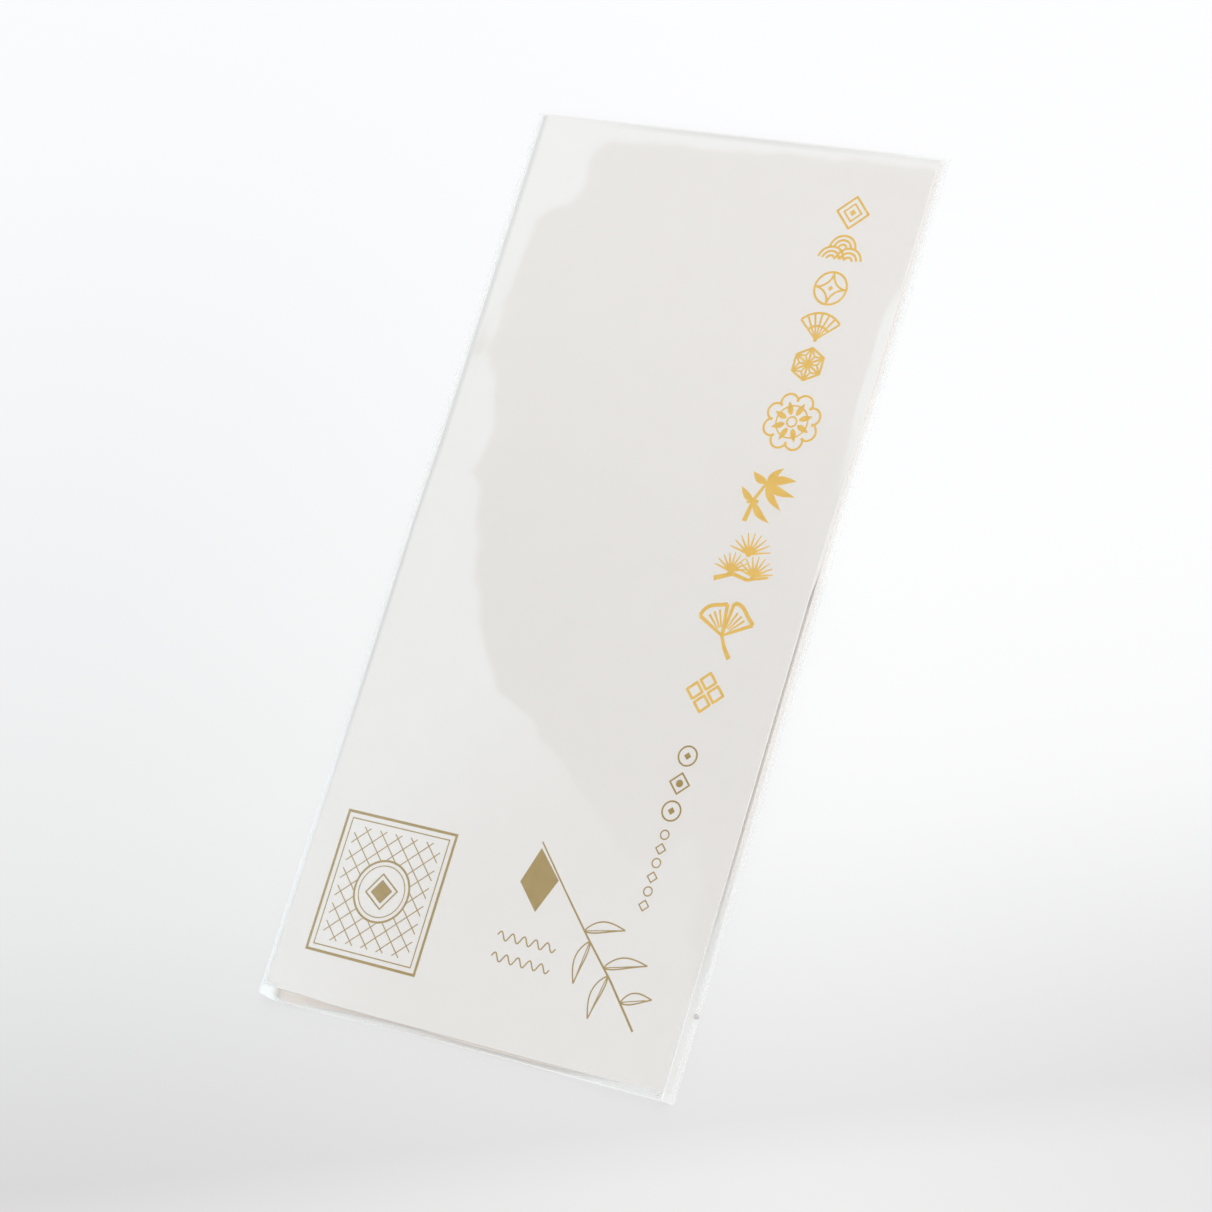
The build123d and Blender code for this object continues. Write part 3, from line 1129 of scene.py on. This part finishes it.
far = 3000.0
ground = -0.02
floor_corners = [(-far, -far, ground), (far, -far, ground), (far, far, ground), (-far, far, ground)]
stage_plane("floor", floor_corners, floor_finish())
wide = 2500.0
roof = 1000.0
roof_corners = [(-wide, wide, roof), (wide, wide, roof), (wide, -wide, roof), (-wide, -wide, roof)]
stage_plane("light_roof", roof_corners, light_cloth())
# A black flag under the roof: where the film mirrors it, the paper shows without a veil
flag = [
    (-436, 476), (-517, 475), (-576, 471), (-637, 467), (-640, 455), (-637, 446), (-639, 437), (-643, 430),
    (-656, 427), (-663, 420), (-663, 400), (-662, 385), (-661.5, 377), (-662.8, 371), (-662.6, 360),
    (-661.3, 348), (-664, 343), (-657, 335), (-654, 323), (-649, 298), (-643, 268), (-637, 240),
    (-637, 230), (-633, 214), (-625, 200), (-618, 188), (-608, 172), (-597, 157), (-583, 152),
    (-570, 145), (-562, 135), (-541, 126), (-532, 117), (-519, 108), (-497, 89), (-484, 85),
    (-476, 93), (-468, 104), (-463, 107), (-455, 98), (-450, 84), (-448, 54), (-442, 25), (-436, 25),
]
flag_height = roof - FLAG_UNDER_ROOF
stage_plane("black_flag", [(x, y, flag_height) for x, y in flag[::-1]], flag_cloth())

world = bpy.data.worlds.new("studio")
bpy.context.scene.world = world
surround = Finish("studio", world)
backdrop = surround.node("ShaderNodeBackground", None, {"Color": (1.0, 1.0, 0.995), "Strength": 0.89})
surround.node("ShaderNodeOutputWorld", None, {"Surface": backdrop})

camera_data = bpy.data.cameras.new("camera")
camera_data.lens = 99.754
camera_data.sensor_width = 36.0
camera_data.clip_start = 0.01
camera_data.clip_end = 20.0
camera = bpy.data.objects.new("camera", camera_data)
bpy.context.scene.collection.objects.link(camera)
right = (0.8619173, 0.28693257, -0.41804253)
up = (-0.16658609, 0.9389552, 0.30101138)
back = (0.478898, -0.18980976, 0.85710285)
eye = (0.28939042, -0.11860426, 0.51383158)
camera.matrix_world = Matrix((
    (right[0], up[0], back[0], eye[0]),
    (right[1], up[1], back[1], eye[1]),
    (right[2], up[2], back[2], eye[2]),
    (0, 0, 0, 1),
))
bpy.context.scene.camera = camera
bpy.context.scene.view_settings.view_transform = "Standard"
# The film and what lies in it are many clear layers deep
bpy.context.scene.cycles.transparent_max_bounces = 48
